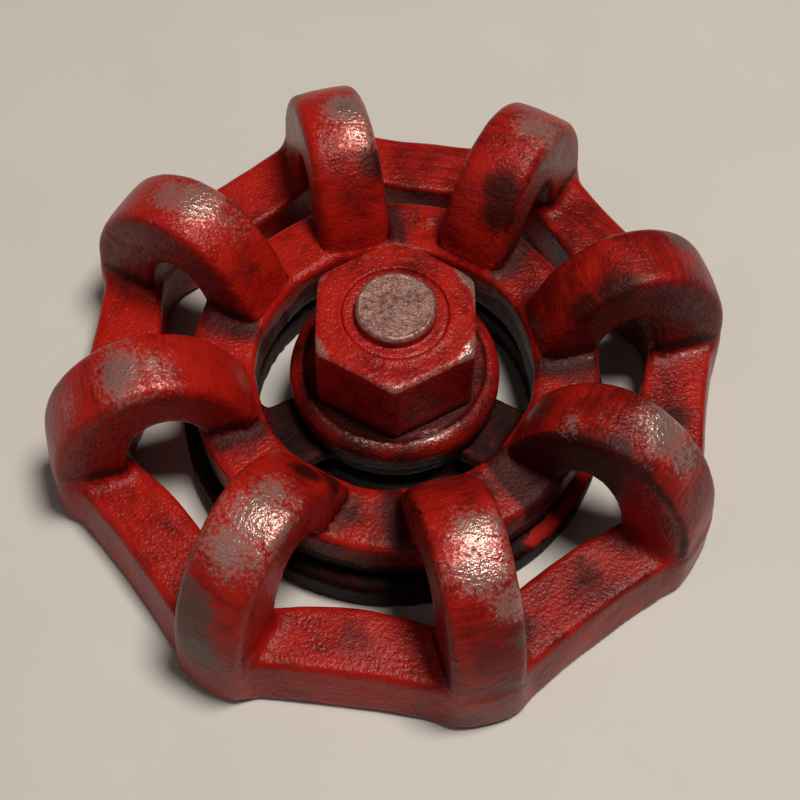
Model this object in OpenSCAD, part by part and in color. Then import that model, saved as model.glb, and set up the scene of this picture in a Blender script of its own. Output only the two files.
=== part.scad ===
// Handwheel head of a shutoff valve: a bowed handwheel with its stem, nut, collar and bearing base.
// The origin is on the stem axis, at the underside of the base. +Z runs up the stem.

/* [Wheel] */
// Radius from the stem axis to the outer face of a grip bow
wheel_r = 54.8; // [54:0.2:57]
// Outer radius of the rim midway between two bows
rim_mid_r = 51; // [50:0.2:51.4]
// Inner radius of the rim midway between two bows
rim_inner_mid_r = 39.3; // [39:0.1:40.5]
// Height of the rim's top face above the base's underside
rim_top = 10.4; // [9:0.2:11]
// Gap between the rim and whatever the base stands on
rim_lift = 0.4; // [0.3:0.1:1]

/* [Grip bows] */
// Number of grip bows and of rim corners
bow_count = 8; // [8:1:8]
// Width of a bow around the wheel
bow_w = 11.5; // [9:0.5:13]
// Height of a bow's crown
bow_top = 32.6; // [30:0.2:36]
// Height of the window's top under a bow
window_top = 22.8; // [21:0.2:24]

/* [Inner ring] */
// Inner radius of the inner ring
ring_r1 = 22.2; // [21.5:0.1:22.5]
// Outer radius of the inner ring
ring_r2 = 32.4; // [32:0.1:33]
// Height of the inner ring's underside
ring_z1 = 8; // [7.5:0.1:8.5]
// Height of the inner ring's top face
ring_z2 = 16.3; // [15.5:0.1:17]

/* [Hub] */
// Number of arms between the hub and the rings
arm_count = 3; // [3:1:4]
// Width of an arm
arm_w = 12; // [8:0.5:12]
// Height of the upper face of the wheel's arms
arm_top = 10.6; // [9.5:0.1:11.5]
// Radius of the hub boss
hub_r = 15.8; // [14.5:0.1:16]
// Height of the hub boss, where the collar sits
hub_top = 12; // [11.5:0.1:12.5]
// Radius of the collar
collar_r = 16.7; // [16.5:0.1:17]

/* [Nut and stem] */
// Width of the nut across its flats
nut_af = 24; // [22:0.5:24]
// Height of the nut
nut_h = 14.4; // [12:0.2:15]
// Turn of the nut about the stem, in degrees
nut_angle = 37; // [0:1:59]
// Nominal diameter of the stem's thread
thread_d = 16; // [14:0.5:16]
// Diameter of the plain point on the stem's end
point_d = 12.3; // [10:0.1:13]
// Width of the square drive across its flats
square_af = 16; // [16:0.1:16.4]
// Diameter of the stem where it runs in the bush
journal_d = 22; // [22:0.1:22.4]

/* [Base] */
// Outer radius of the base ring
base_r = 34.5; // [33.5:0.1:35]
// Height of the base ring and the bearing boss
base_h = 6; // [5.5:0.1:6.5]
// Drill diameter of the tapped fixing holes in the base
fixing_d = 3.3; // [2.5:0.1:4.2]
// Diameter of the circle that the fixing holes lie on
fixing_circle_d = 57; // [54:0.5:58]
// Drill diameter of the tapped socket in the stem's lower end
socket_d = 8.5; // [6:0.1:9]
// Depth of the tapped socket
socket_depth = 13.5; // [8:0.5:16]

/* [Hidden] */
$fn = 96;
cut = 1;                                  // how far a cutter runs past a face
running_gap = 0.05;                       // radial play of the stem in its bush and of the nut's bore
loose_gap = 0.3;                          // radial play of the collar on the stem
bow_step = 360 / bow_count;
first_bow = bow_step / 2;
arm_step = 360 / arm_count;
first_arm = 97.5;
arc_steps = 24;                           // straight steps along a bow's curve

// Rim: hollow sides between blunt corners
rim_tip_r = wheel_r + 2.6;                // where two neighbouring sides would meet
rim_side_r = 140;                         // radius of a hollow outer side
rim_hole_tip_r = 46.2;
rim_hole_side_r = 56;

// Bow: an outer and an inner half ellipse in a plane through the stem axis
bow_r1 = ring_r1 - 0.2;                   // inner end of the outer curve, at the rim's height
bow_mid_r = (wheel_r + bow_r1) / 2;
bow_spring_z = rim_top;                   // height where both curves start
window_r1 = 30.7;
window_r2 = 43.2;
window_mid_r = (window_r1 + window_r2) / 2;
ring_bevel = 1.1;

// Stack on the stem, from the base up
clip_h = 1.2;
clip_z = 0.8;
clip_r = 12.6;
clip_bore_r = 13.3;                       // room for the retaining ring, from below
clip_bore_h = 2.3;
groove_depth = 0.8;
bush_wall = 2;
bush_flange_r = 14;
bush_flange_h = 1.2;
washer_h = 0.8;
journal_r = journal_d / 2;
bush_r = journal_r + running_gap + bush_wall;
bush_top = base_h + bush_flange_h;
washer_top = bush_top + washer_h;
stem_z = 0.6;
seat_z = 16.4;                            // where the nut bears on the collar
collar_top = 16.8;
collar_shoulder = 2.2;                    // radius of the collar's rounded upper edge
dish_r = nut_af / sqrt(3) + 0.4;
nut_top = seat_z + nut_h;
point_h = 2.1;
thread_r = thread_d / 2;
point_r = point_d / 2;
square_corner_r = journal_r - 0.5;
square_play = 0.05;
base_r1 = ring_r1 + 0.4;
base_arm_h = 5;
base_chamfer = 1;
fixing_depth = 4;
drill_point = 0.3;                        // height of a drill's point, as a share of its diameter

red = "firebrick";
dark = "#2a1c18";
steel = "silver";
bronze = "#b08d57";

// ---- shared shapes ----

// A round tube from z1 to z2
module tube(r1, r2, z1, z2) {
    translate([0, 0, z1])
    difference() {
        cylinder(r = r2, h = z2 - z1);
        translate([0, 0, -cut]) cylinder(r = r1, h = z2 - z1 + 2 * cut);
    }
}

// An eight-cornered outline whose sides are hollowed to mid_r by arcs of radius side_r
module scalloped(tip_r, mid_r, side_r) {
    difference() {
        polygon([for (i = [0 : bow_count - 1])
            let (a = first_bow + i * bow_step) tip_r * [cos(a), sin(a)]]);
        for (i = [0 : bow_count - 1])
            rotate(i * bow_step) translate([mid_r + side_r, 0]) circle(r = side_r, $fn = 360);
    }
}

// A bar that runs out along one arm's direction between two radii
module arm(index, r1, r2, z1, z2) {
    intersection() {
        tube(r1, r2, z1, z2);
        rotate(first_arm + index * arm_step)
        translate([0, -arm_w / 2, z1 - cut]) cube([r2 + cut, arm_w, z2 - z1 + 2 * cut]);
    }
}

// A blind drilled hole that opens downwards at z = 0, with its drill point above the full depth
module drilled(d, depth) {
    translate([0, 0, -cut]) cylinder(d = d, h = depth + cut);
    translate([0, 0, depth]) cylinder(r1 = d / 2, r2 = 0, h = d * drill_point);
}

// A square bar with turned corners, around the stem axis
module square_bar(af, corner_r, h) {
    intersection() {
        translate([-af / 2, -af / 2, 0]) cube([af, af, h]);
        cylinder(r = corner_r, h = h);
    }
}

// ---- base ----

module base_ring() {
    color(dark)
    difference() {
        rotate_extrude()
        polygon([
            [base_r1, 0], [base_r, 0], [base_r, base_h - base_chamfer],
            [base_r - base_chamfer, base_h], [base_r1, base_h]
        ]);
        for (i = [0 : arm_count - 1])
            rotate(first_arm + i * arm_step)
            translate([fixing_circle_d / 2, 0, 0]) drilled(fixing_d, fixing_depth);
    }
}

module base_spider() {
    color(dark)
    difference() {
        union() {
            cylinder(r = hub_r, h = base_h);
            for (i = [0 : arm_count - 1]) arm(i, hub_r - cut, base_r1, 0, base_arm_h);
        }
        translate([0, 0, -cut]) cylinder(r = bush_r, h = base_h + 2 * cut);
        translate([0, 0, -cut]) cylinder(r = clip_bore_r, h = clip_bore_h + cut);
    }
}

module stem_bush() {
    color(bronze)
    difference() {
        union() {
            translate([0, 0, clip_bore_h]) cylinder(r = bush_r, h = bush_top - clip_bore_h);
            translate([0, 0, base_h]) cylinder(r = bush_flange_r, h = bush_flange_h);
        }
        cylinder(r = journal_r + running_gap, h = bush_top + cut);
    }
}

module thrust_washer() {
    color(bronze) tube(journal_r + running_gap, bush_flange_r, bush_top, washer_top);
}

// ---- handwheel ----

module outer_rim() {
    color(red)
    translate([0, 0, rim_lift])
    linear_extrude(rim_top - rim_lift)
    difference() {
        intersection() {
            scalloped(rim_tip_r, rim_mid_r, rim_side_r);
            circle(r = wheel_r, $fn = 360);
        }
        scalloped(rim_hole_tip_r, rim_inner_mid_r, rim_hole_side_r);
    }
}

module inner_ring() {
    color(red)
    rotate_extrude()
    polygon([
        [ring_r1, ring_z1], [ring_r2, ring_z1], [ring_r2, ring_z2 - ring_bevel],
        [ring_r2 - ring_bevel, ring_z2], [ring_r1, ring_z2]
    ]);
}

module hub_boss() {
    color(dark)
    translate([0, 0, washer_top])
    difference() {
        cylinder(r = hub_r, h = hub_top - washer_top);
        translate([0, 0, -cut])
        square_bar(square_af + 2 * square_play, square_corner_r + square_play, hub_top + cut);
    }
}

module hub_arm(index) {
    color(dark) arm(index, hub_r, ring_r1, ring_z1, arm_top);
}

// One half ellipse of a bow's outline, from its outer end to its inner end
function half_ellipse(mid, a, z, b) =
    [for (i = [0 : arc_steps]) let (t = 180 * i / arc_steps) [mid + a * cos(t), z + b * sin(t)]];

function reversed(list) = [for (i = [len(list) - 1 : -1 : 0]) list[i]];

// Outline of a bow, standing on the rim outside and on the inner ring inside
module bow_outline() {
    outer = half_ellipse(bow_mid_r, (wheel_r - bow_r1) / 2, bow_spring_z, bow_top - bow_spring_z);
    inner = half_ellipse(window_mid_r, (window_r2 - window_r1) / 2, bow_spring_z,
                         window_top - bow_spring_z);
    difference() {
        polygon(concat(outer, reversed(inner)));
        square([window_r1 + cut, ring_z2]);
    }
}

module grip_bow(index) {
    color(red)
    rotate(first_bow + (index - 1) * bow_step)
    translate([0, bow_w / 2, 0])
    rotate([90, 0, 0]) linear_extrude(bow_w) bow_outline();
}

module stem() {
    color(steel)
    difference() {
        union() {
            translate([0, 0, stem_z]) cylinder(r = journal_r, h = washer_top - stem_z);
            translate([0, 0, washer_top]) square_bar(square_af, square_corner_r, hub_top - washer_top);
            translate([0, 0, hub_top]) cylinder(r = thread_r, h = nut_top - hub_top);
            translate([0, 0, nut_top]) cylinder(r = point_r, h = point_h);
        }
        tube(journal_r - groove_depth, journal_r + cut, clip_z, clip_z + clip_h);
        translate([0, 0, stem_z]) drilled(socket_d, socket_depth);
    }
}

// Open spring ring, with the gap that its pliers need
module retaining_ring() {
    gap_w = 6;
    color(steel)
    difference() {
        tube(journal_r - groove_depth, clip_r, clip_z, clip_z + clip_h);
        translate([0, -gap_w / 2, 0]) cube([clip_r + cut, gap_w, clip_z + clip_h + cut]);
    }
}

// ---- clamp on the stem ----

module collar() {
    color(red)
    rotate_extrude()
    difference() {
        union() {
            translate([0, hub_top]) square([collar_r, collar_top - hub_top - collar_shoulder]);
            translate([0, hub_top]) square([collar_r - collar_shoulder, collar_top - hub_top]);
            translate([collar_r - collar_shoulder, collar_top - collar_shoulder]) circle(r = collar_shoulder);
        }
        translate([-cut, hub_top - cut]) square([thread_r + loose_gap + cut, collar_top]);
        translate([0, seat_z]) square([dish_r, collar_top]);
    }
}

module hex_nut() {
    corner_r = nut_af / sqrt(3);
    top_flat_r = nut_af / 2 - 0.2;
    slope_h = 1.2;
    color(red)
    difference() {
        intersection() {
            translate([0, 0, seat_z]) rotate(nut_angle) cylinder(r = corner_r, h = nut_h, $fn = 6);
            union() {
                translate([0, 0, seat_z]) cylinder(r = corner_r + cut, h = nut_h - slope_h);
                translate([0, 0, nut_top - slope_h])
                cylinder(r1 = corner_r + 0.2, r2 = top_flat_r, h = slope_h);
            }
        }
        translate([0, 0, seat_z - cut]) cylinder(r = thread_r + running_gap, h = nut_h + 2 * cut);
    }
}

base_ring();
base_spider();
stem_bush();
thrust_washer();
outer_rim();
inner_ring();
hub_boss();
hub_arm(0);  // hub_arm_1
hub_arm(1);  // hub_arm_2
hub_arm(2);  // hub_arm_3
grip_bow(1);  // grip_bow_1
grip_bow(2);  // grip_bow_2
grip_bow(3);  // grip_bow_3
grip_bow(4);  // grip_bow_4
grip_bow(5);  // grip_bow_5
grip_bow(6);  // grip_bow_6
grip_bow(7);  // grip_bow_7
grip_bow(8);  // grip_bow_8
stem();
retaining_ring();
collar();
hex_nut();
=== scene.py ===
"""A bowed valve handwheel with its stem, nut, collar and bearing base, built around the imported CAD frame."""
import bmesh
import bpy
import math
import numpy as np
from mathutils import Matrix, Vector


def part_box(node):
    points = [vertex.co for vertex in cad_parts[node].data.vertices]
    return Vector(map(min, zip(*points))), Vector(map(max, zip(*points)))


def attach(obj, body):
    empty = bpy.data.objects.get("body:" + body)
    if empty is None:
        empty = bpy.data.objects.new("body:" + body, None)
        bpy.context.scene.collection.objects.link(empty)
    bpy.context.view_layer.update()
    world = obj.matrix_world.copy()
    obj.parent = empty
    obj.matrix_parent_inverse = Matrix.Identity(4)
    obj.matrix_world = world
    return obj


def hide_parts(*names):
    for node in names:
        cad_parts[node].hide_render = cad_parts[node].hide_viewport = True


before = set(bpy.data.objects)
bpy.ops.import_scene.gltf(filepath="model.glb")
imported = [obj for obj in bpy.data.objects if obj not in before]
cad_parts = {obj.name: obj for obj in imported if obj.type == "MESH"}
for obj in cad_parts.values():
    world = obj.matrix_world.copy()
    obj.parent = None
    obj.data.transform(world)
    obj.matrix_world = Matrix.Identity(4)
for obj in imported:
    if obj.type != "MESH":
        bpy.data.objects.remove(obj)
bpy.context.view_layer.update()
MM = 0.001


# ---- sizes in millimetres, from the frame where it holds them ----

def box_mm(node):
    lo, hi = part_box(node)
    return np.array(lo) / MM, np.array(hi) / MM


RIM_LIFT, RIM_TOP = box_mm("outer_rim")[0][2], box_mm("outer_rim")[1][2]
RING_LO, RING_HI = box_mm("inner_ring")
RING_R2, RING_Z1, RING_Z2 = RING_HI[0], RING_LO[2], RING_HI[2]
BOW_TOP = box_mm("grip_bow_1")[1][2]
BASE_R, BASE_H = box_mm("base_ring")[1][0], box_mm("base_ring")[1][2]
HUB_R, HUB_Z1, HUB_Z2 = box_mm("hub_boss")[1][0], box_mm("hub_boss")[0][2], box_mm("hub_boss")[1][2]
ARM_TOP = box_mm("hub_arm_1")[1][2]
COLLAR_R, COLLAR_TOP = box_mm("collar")[1][0], box_mm("collar")[1][2]
NUT_Z1, NUT_Z2 = box_mm("hex_nut")[0][2], box_mm("hex_nut")[1][2]
STEM_Z1, STEM_TOP = box_mm("stem")[0][2], box_mm("stem")[1][2]

# the rest of the design, as part.scad has it
BOWS = 8
BOW_STEP = math.tau / BOWS
WHEEL_R = 54.8
RIM_MID_R = 51.0
RIM_HOLLOW_R = 140.0
RIM_HOLE_MID_R = 39.3
RIM_HOLE_HOLLOW_R = 56.0
RING_R1 = 22.2
BOW_R1 = 22.0
BOW_W = 11.5
BOW_MID_R, BOW_HALF = (WHEEL_R + BOW_R1) / 2, (WHEEL_R - BOW_R1) / 2
WINDOW_R1, WINDOW_R2, WINDOW_TOP = 30.7, 43.2, 22.8
ARMS = 3
FIRST_ARM = math.radians(97.5)
ARM_W = 12.0
BASE_R1 = RING_R1 + 0.4
BASE_ARM_H = 5.0
BUSH_HOLE_R = 13.05
CLIP_BORE_R, CLIP_BORE_H = 13.3, 2.3
NUT_AF = 24.0
NUT_ANGLE = math.radians(37)
DISH_R = NUT_AF / math.sqrt(3) + 0.4
COLLAR_SHOULDER = 2.2
THREAD_R, THREAD_PITCH, THREAD_DEPTH, NUT_THREAD_DEPTH = 8.0, 2.0, 1.2, 0.75
POINT_R, POINT_H = 6.15, 2.1
JOURNAL_R = 11.0
SQUARE_AF, SQUARE_CORNER_R = 16.0, 10.5
SOCKET_R, SOCKET_DEPTH, SOCKET_PITCH = 4.25, 13.5, 1.5
GROOVE_DEPTH, CLIP_Z, CLIP_H = 0.8, 0.8, 1.2
FIXING_CIRCLE_R, FIXING_R, FIXING_DEPTH = 28.5, 1.65, 4.0

# ---- camera, first, because everything is judged through it ----

CAM_AZIMUTH, CAM_ELEVATION, CAM_ROLL = 6.6, 59.7, 1.2
CAM_DISTANCE = 0.2713
CAM_AIM = Vector((0.0006, 0.0030, 0.0))
CAM_LENS = 72.9


def make_camera():
    a, e, r = (math.radians(v) for v in (CAM_AZIMUTH, CAM_ELEVATION, CAM_ROLL))
    back = Vector((math.sin(a) * math.cos(e), -math.cos(a) * math.cos(e), math.sin(e)))
    right = Vector((0, 0, 1)).cross(back).normalized()
    up = back.cross(right)
    turned_right = math.cos(r) * right + math.sin(r) * up
    turned_up = math.cos(r) * up - math.sin(r) * right
    cam = bpy.data.objects.new("camera", bpy.data.cameras.new("camera"))
    bpy.context.collection.objects.link(cam)
    cam.data.lens = CAM_LENS
    cam.data.sensor_width = 36.0
    cam.data.clip_start = 0.01
    cam.matrix_world = Matrix((
        (turned_right.x, turned_up.x, back.x, 0), (turned_right.y, turned_up.y, back.y, 0),
        (turned_right.z, turned_up.z, back.z, 0), (0, 0, 0, 1)))
    cam.location = CAM_AIM + back * CAM_DISTANCE
    bpy.context.scene.camera = cam


make_camera()


# ---- distance fields: negative inside, in millimetres; x, y and z are arrays ----

def smooth_min(a, b, k):
    """Union of two fields with a fillet about k wide."""
    h = np.clip(0.5 + 0.5 * (b - a) / k, 0, 1)
    return b * (1 - h) + a * h - k * h * (1 - h)


def smooth_max(a, b, k):
    return -smooth_min(-a, -b, k)


def round_max(a, b, r):
    """Intersection of two fields with an edge of radius r."""
    return np.minimum(np.maximum(a, b), -r) + np.hypot(np.maximum(a + r, 0), np.maximum(b + r, 0))


def slab(z, z1, z2):
    return np.maximum(z1 - z, z - z2)


def bell(value, middle, width):
    """1 at the middle, falling smoothly to nothing some two widths away."""
    return np.exp(-((value - middle) / width) ** 2)


def polar(p):
    """Distance from the stem's axis, and degrees around it from 0 to 360."""
    return np.hypot(p[:, 0], p[:, 1]), np.degrees(np.arctan2(p[:, 1], p[:, 0])) % 360


def fold(x, y, step, first):
    """Which repeat a point belongs to, and its distance along and across that repeat's direction."""
    index = np.round((np.arctan2(y, x) - first) / step)
    a = index * step + first
    return index.astype(int), x * np.cos(a) + y * np.sin(a), y * np.cos(a) - x * np.sin(a)


def half_ellipse(u, z, mid, a, z0, b):
    """Distance to an arch: half an ellipse over z0 and straight legs under it."""
    du = (u - mid) / a
    dz = np.maximum(z - z0, 0) / b
    e = np.sqrt(du * du + dz * dz) + 1e-6
    slope = np.sqrt((du / a) ** 2 + (dz / b) ** 2) + 1e-6
    return (e - 1) * e / slope


def lattice(ix, iy, iz, seed):
    """A repeatable number from -1 to 1 for each whole-number point."""
    n = (ix * 73856093) ^ (iy * 19349663) ^ (iz * 83492791) ^ (seed * 2654435761)
    n = (n ^ (n >> 13)) * 1274126177 & 0x7FFFFFFF
    n = (n ^ (n >> 15)) * 668265263 & 0x7FFFFFFF
    return n / 0x3FFFFFFF - 1.0


def noise(p, size, seed):
    """Smooth noise from -1 to 1 whose lumps are about size across."""
    q = p / size
    i = np.floor(q).astype(np.int64)
    f = q - i
    f = f * f * (3 - 2 * f)
    total = 0
    for dx in (0, 1):
        for dy in (0, 1):
            for dz in (0, 1):
                weight = 1.0
                for axis, d in enumerate((dx, dy, dz)):
                    weight = weight * (f[:, axis] if d else 1 - f[:, axis])
                total = total + weight * lattice(i[:, 0] + dx, i[:, 1] + dy, i[:, 2] + dz, seed)
    return total


# ---- the wheel casting ----

BOW_ROUND, WINDOW_ROUND = 1.7, 1.0
BOW_CROWN = 0.013
SEAM_RIM = RIM_TOP + 0.5
SEAM_RING = RING_Z2 + 0.5
SEAM_R = 36.0
RIM_SEAM_DEPTH, RING_SEAM_DEPTH, SEAM_W = 0.08, 0.26, 0.32
RING_SPLIT_R, HUB_SPLIT_R = RING_R1 - 0.5, HUB_R + 0.5
RIM_DRAFT = 1.5
PIP = (1.8, 28.9)
BOW_FILLET, RING_FILLET, ARM_FILLET, HUB_FILLET = 2.4, 2.0, 2.0, 1.0
# How far each corner of the hand-finished casting stands out or in, and each crown up or down
CORNER_OUT = np.array([-0.3, 0.0, -0.2, 0.0, 0.9, 0.9, 0.1, -0.5])
CROWN_UP = np.array([0.0, 0.1, -0.3, -0.2, -0.2, 0.0, 0.1, 0.1])


def bow_field(x, y, z):
    index, u, t = fold(x, y, BOW_STEP, BOW_STEP / 2)
    index = index % BOWS
    out, up = CORNER_OUT[index], CROWN_UP[index]
    mid, half = (WHEEL_R + out + BOW_R1) / 2, (WHEEL_R + out - BOW_R1) / 2
    outer = half_ellipse(u, z, mid, half, RIM_TOP, BOW_TOP + up - RIM_TOP) + BOW_CROWN * t * t
    window = -half_ellipse(u, z, (WINDOW_R1 + WINDOW_R2 + out) / 2, (WINDOW_R2 + out - WINDOW_R1) / 2,
                           RIM_TOP, WINDOW_TOP - RIM_TOP)
    side = np.abs(t) - BOW_W / 2
    foot = np.where(u > SEAM_R, RIM_LIFT, RING_Z1) + 1.5 - z
    body = np.maximum(round_max(outer, side, BOW_ROUND), round_max(window, side, WINDOW_ROUND))
    return np.maximum(body, foot)


def rim_outline(x, y, z):
    """Distance to the rim's outer and inner outlines, each smoothed where two hollow sides meet."""
    angle = np.arctan2(y, x)
    side = np.round(angle / BOW_STEP) * BOW_STEP
    a = angle - side
    r = np.hypot(x, y)
    b = a - np.where(a < 0, -1, 1) * BOW_STEP
    draft = RIM_DRAFT * (z - RIM_LIFT) / (RIM_TOP - RIM_LIFT) - 0.4
    outs, ins = [], []
    for angle_from_side in (a, b):
        along, across = r * np.cos(angle_from_side), r * np.sin(angle_from_side)
        outs.append(along - RIM_MID_R + draft - across ** 2 / (2 * RIM_HOLLOW_R))
        ins.append(along - RIM_HOLE_MID_R - across ** 2 / (2 * RIM_HOLE_HOLLOW_R))
    index = np.floor(angle / BOW_STEP).astype(int) % BOWS
    outer = smooth_max(outs[0], outs[1], 2.5)
    outer = smooth_max(outer, r - WHEEL_R - CORNER_OUT[index], 1.5)
    return outer, -smooth_max(ins[0], ins[1], 3.0)


def rim_field(x, y, z):
    outer, inner = rim_outline(x, y, z)
    top, bottom = z - RIM_TOP, RIM_LIFT - z
    body = np.maximum(round_max(outer, top, 1.1), round_max(inner, top, 0.9))
    return np.maximum(body, np.maximum(round_max(outer, bottom, 0.8), round_max(inner, bottom, 0.8)))


def ring_field(x, y, z):
    r = np.hypot(x, y)
    top, bottom = z - RING_Z2, RING_Z1 - z
    body = np.maximum(round_max(r - RING_R2, top, 1.3), round_max(RING_R1 - r, top, 0.7))
    body = np.maximum(body, np.maximum(round_max(r - RING_R2, bottom, 0.5), RING_R1 - r))
    pip = np.sqrt((x - PIP[0]) ** 2 + (y - PIP[1]) ** 2 + (z - RING_Z2 + 0.9) ** 2) - 1.6
    return smooth_min(body, pip, 0.6)


def arm_field(x, y, z, z1, z2, r2):
    _, u, t = fold(x, y, math.tau / ARMS, FIRST_ARM)
    body = np.maximum(round_max(np.abs(t) - ARM_W / 2, slab(z, z1, z2), 0.8), u - r2)
    return np.maximum(body, -u)


def hub_field(x, y, z):
    r = np.hypot(x, y)
    body = round_max(r - HUB_R, slab(z, HUB_Z1, HUB_Z2), 0.6)
    square = np.maximum(np.maximum(np.abs(x), np.abs(y)) - SQUARE_AF / 2 - 0.05,
                        r - SQUARE_CORNER_R - 0.05)
    return np.maximum(body, -square)


def seams(x, y, z):
    """The shallow creases where the bows' feet meet the rim and the ring."""
    r = np.hypot(x, y)
    at_rim = bell(z, SEAM_RIM, SEAM_W) * np.clip((50 - r) / 3, 0, 1) * (r > SEAM_R)
    at_ring = bell(z, SEAM_RING, SEAM_W) * (r < SEAM_R)
    return RIM_SEAM_DEPTH * at_rim + RING_SEAM_DEPTH * at_ring


def casting(x, y, z):
    body = smooth_min(rim_field(x, y, z), bow_field(x, y, z), BOW_FILLET)
    body = smooth_min(body, ring_field(x, y, z), RING_FILLET)
    body = smooth_min(body, arm_field(x, y, z, RING_Z1, ARM_TOP, RING_R1 + 1), ARM_FILLET)
    body = smooth_min(body, hub_field(x, y, z), HUB_FILLET)
    underside = np.where(np.hypot(x, y) > SEAM_R, RIM_LIFT, RING_Z1) - z
    return np.maximum(body + seams(x, y, z), underside)


def hub_part(x, y, z):
    return np.maximum(casting(x, y, z), np.hypot(x, y) - HUB_SPLIT_R)


def arm_part(index):
    def field(x, y, z):
        r = np.hypot(x, y)
        a = FIRST_ARM + index * math.tau / ARMS
        ahead = -(x * math.cos(a) + y * math.sin(a))
        return np.maximum(casting(x, y, z), np.maximum.reduce([r - RING_SPLIT_R, HUB_SPLIT_R - r, ahead]))
    return field


# ---- the other solids ----

BASE_FILLET = 1.6


def base_field(x, y, z):
    r = np.hypot(x, y)
    ring = np.maximum(round_max(r - BASE_R, z - BASE_H, 1.2), round_max(BASE_R1 - r, z - BASE_H, 0.8))
    ring = np.maximum(ring, round_max(r - BASE_R, -z, 0.5))
    arms = arm_field(x, y, z, 0, BASE_ARM_H, BASE_R1 + 1)
    boss = round_max(r - HUB_R, slab(z, 0, BASE_H), 0.5)
    body = smooth_min(smooth_min(ring, arms, BASE_FILLET), boss, BASE_FILLET)
    body = np.maximum(body, -z)
    bore = np.minimum(r - BUSH_HOLE_R, np.maximum(r - CLIP_BORE_R, z - CLIP_BORE_H))
    _, u, t = fold(x, y, math.tau / ARMS, FIRST_ARM)
    fixing = np.maximum(np.hypot(u - FIXING_CIRCLE_R, t) - FIXING_R, z - FIXING_DEPTH)
    return np.maximum(body, -np.minimum(bore, fixing))


def base_ring_part(x, y, z):
    return np.maximum(base_field(x, y, z), BASE_R1 - 0.4 - np.hypot(x, y))


def base_spider_part(x, y, z):
    return np.maximum(base_field(x, y, z), np.hypot(x, y) - BASE_R1 + 0.4)


def collar_field(x, y, z):
    r = np.hypot(x, y)
    body = np.maximum(round_max(r - COLLAR_R, z - COLLAR_TOP, COLLAR_SHOULDER), HUB_Z2 - z)
    dish = smooth_max(r - DISH_R, NUT_Z1 - z, 0.4)
    return np.maximum(smooth_max(body, -dish, 0.6), THREAD_R + 0.3 - r)


def hexagon(x, y, half):
    distance = -1e9
    for i in range(6):
        a = NUT_ANGLE + math.pi / 6 + i * math.pi / 3
        distance = smooth_max(distance, x * math.cos(a) + y * math.sin(a) - half, 0.7)
    return distance


def nut_field(x, y, z):
    r = np.hypot(x, y)
    flats = hexagon(x, y, NUT_AF / 2)
    body = round_max(flats, z - NUT_Z2, 0.6)
    body = smooth_max(body, (r - 13.0 + (z - NUT_Z2)) * 0.72, 0.9)
    body = np.maximum(body, NUT_Z1 - z)
    front_right = 0.5 + 0.5 * np.cos(np.arctan2(y, x) + math.radians(60))
    lip = np.hypot(r - (THREAD_R + 0.45), z - NUT_Z2 + 0.34 - 0.24 * front_right) - 0.32
    turn = (z / THREAD_PITCH - np.arctan2(y, x) / math.tau) * math.tau
    ends = np.clip((NUT_Z2 - 0.9 - z) / 0.9, 0, 1) * np.clip((z - NUT_Z1 - 0.5) / 0.9, 0, 1)
    bore = THREAD_R + 0.06 + NUT_THREAD_DEPTH * ends * (0.5 + 0.5 * np.cos(turn))
    return np.maximum(smooth_min(body, lip, 0.5), (bore - r) * 0.8)


NUT_SKIN = 0.5


def nut_wear_and_shade(p, normal):
    """Silver on the worn corners and the front edge; painted shade on the side faces, darkest low down near
    the foot; bare steel in the bore.
    """
    r, around = polar(p)
    near_top = bell(p[:, 2], NUT_Z2 - 0.4, 0.9) * np.clip((r - 11.0) / 1.2, 0, 1)
    strength = np.full(len(p), 0.32)
    for middle, width, most in ((337, 14, 0.9), (37, 16, 1.0), (97, 10, 0.5), (217, 14, 0.7),
                                (277, 12, 0.6), (307, 26, 0.7), (15, 20, 0.5)):
        away = np.abs((around - middle + 180) % 360 - 180)
        strength = np.maximum(strength, most * bell(away, 0, width))
    # painted shade: the side faces darker, most near the foot where the nut sits in the collar
    side = np.clip(1 - np.abs(normal[:, 2]) * 2, 0, 1)
    foot = bell(p[:, 2], NUT_Z1, 2.0)
    bore = (r < THREAD_R + 1.0) * (p[:, 2] < NUT_Z2 - 0.3) * 1.0
    return {"silver": near_top * strength, "wash_and_shade": side * (0.22 + 0.6 * foot) * (1 - bore), "bare": bore}


def collar_wear_shade_and_highlight(p, normal):
    """Painted shade around the nut's foot, at the dish's edge and low on the side, and patchy darkening
    heavier at the front and both sides; a painted highlight on the front right of the shoulder, and
    dry-brushed silver on its front.
    """
    r, around = polar(p)
    up = normal[:, 2] > 0.3
    # painted shade low on the side, under the shoulder
    low = np.clip((COLLAR_TOP - 1.5 - p[:, 2]) / 2.0, 0, 1)
    # painted shade in the crevice around the nut's foot and along the dish's edge
    foot = bell(np.maximum(hexagon(p[:, 0], p[:, 1], NUT_AF / 2), 0), 0, 0.5) * up
    lip = 0.5 * bell(r, DISH_R, 0.4) * up
    sides = 0.16 * bell(around, 345, 40) + 0.15 * bell(around, 195, 40)
    front = 0.28 * bell(around, 268, 32)
    patchy = 0.46 + 0.2 * noise(p, 4.0, 51) + sides + front
    # painted highlight: a bright metallic patch on the front right of the shoulder, where the light catches it
    painted_highlight = 0.85 * bell(around, 303, 17) * bell(r, 14.2, 1.5) * up
    brushed = 0.40 * bell(around, 262, 32) * bell(r, 15.0, 1.2) * up
    return {"wash_and_shade": np.maximum.reduce([0.9 * low, 0.95 * foot, lip, patchy]),
            "silver": np.maximum(painted_highlight, brushed), "bare": (r < THREAD_R + 0.7) * 1.0}


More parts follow.
